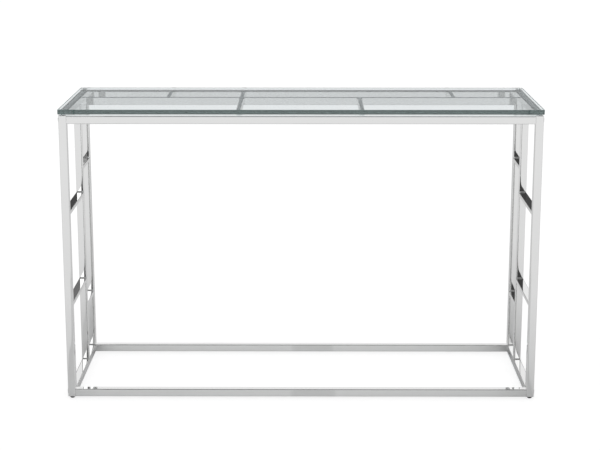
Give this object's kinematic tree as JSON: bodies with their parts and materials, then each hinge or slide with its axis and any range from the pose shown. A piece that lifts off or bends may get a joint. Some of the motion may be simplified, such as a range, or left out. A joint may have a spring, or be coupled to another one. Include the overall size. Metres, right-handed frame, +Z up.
{
  "type": "console table",
  "caption": "Console table with a clear glass top on a chromed square-tube frame, staggered lattice end frames and levelling feet.",
  "frame": {"origin": "on the floor under the middle of the table", "axes": "+X along the table to its right, +Y from front to back, +Z up"},
  "size_m": [1.2, 0.4, 0.75],
  "materials": {
    "chrome": "polished chrome plate",
    "clear_glass": "clear float glass, ground edge",
    "clear_plastic": "clear soft plastic",
    "black_plastic": "satin black plastic",
    "zinc_steel": "zinc-plated steel"
  },
  "bodies": {
    "root": {"access_caps": "chrome", "bottom_rail_back": "chrome", "bottom_rail_front": "chrome", "bottom_rail_left": "chrome", "bottom_rail_right": "chrome", "cross_bar_front_left": "chrome", "cross_bar_front_right": "chrome", "cross_bar_rear_left": "chrome", "cross_bar_rear_middle": "chrome", "cross_bar_rear_right": "chrome", "foot_inserts": "zinc_steel", "frame_bolts": "zinc_steel", "frame_washers": "zinc_steel", "glass_pads": "clear_plastic", "lattice_front_high_left": "chrome", "lattice_front_high_right": "chrome", "lattice_front_low_left": "chrome", "lattice_front_low_right": "chrome", "lattice_rear_high_left": "chrome", "lattice_rear_high_right": "chrome", "lattice_rear_low_left": "chrome", "lattice_rear_low_right": "chrome", "leg_back_left": "chrome", "leg_back_right": "chrome", "leg_front_left": "chrome", "leg_front_right": "chrome", "leg_top_plates": "chrome", "middle_bolts": "zinc_steel", "middle_rail_plugs": "zinc_steel", "middle_washers": "zinc_steel", "rail_end_plugs": "zinc_steel", "top_rail_back": "chrome", "top_rail_front": "chrome", "top_rail_left": "chrome", "top_rail_middle": "chrome", "top_rail_right": "chrome", "upright_left": "chrome", "upright_right": "chrome"},
    "glass": {"glass_top": "clear_glass"},
    "foot_front_left": {"foot_dome_front_left": "black_plastic", "foot_stud_front_left": "zinc_steel"},
    "foot_front_right": {"foot_dome_front_right": "black_plastic", "foot_stud_front_right": "zinc_steel"},
    "foot_back_left": {"foot_dome_back_left": "black_plastic", "foot_stud_back_left": "zinc_steel"},
    "foot_back_right": {"foot_dome_back_right": "black_plastic", "foot_stud_back_right": "zinc_steel"}
  },
  "joints": [
    {"name": "glass_lift", "type": "slide", "parent": "root", "child": "glass", "axis": [0, 0, 1], "range_m": [0, 0.05]},
    {"name": "foot_level_front_left", "type": "slide", "parent": "root", "child": "foot_front_left", "axis": [0, 0, -1], "range_m": [0, 0.004]},
    {"name": "foot_level_front_right", "type": "slide", "parent": "root", "child": "foot_front_right", "axis": [0, 0, -1], "range_m": [0, 0.004]},
    {"name": "foot_level_back_left", "type": "slide", "parent": "root", "child": "foot_back_left", "axis": [0, 0, -1], "range_m": [0, 0.004]},
    {"name": "foot_level_back_right", "type": "slide", "parent": "root", "child": "foot_back_right", "axis": [0, 0, -1], "range_m": [0, 0.004]}
  ]
}
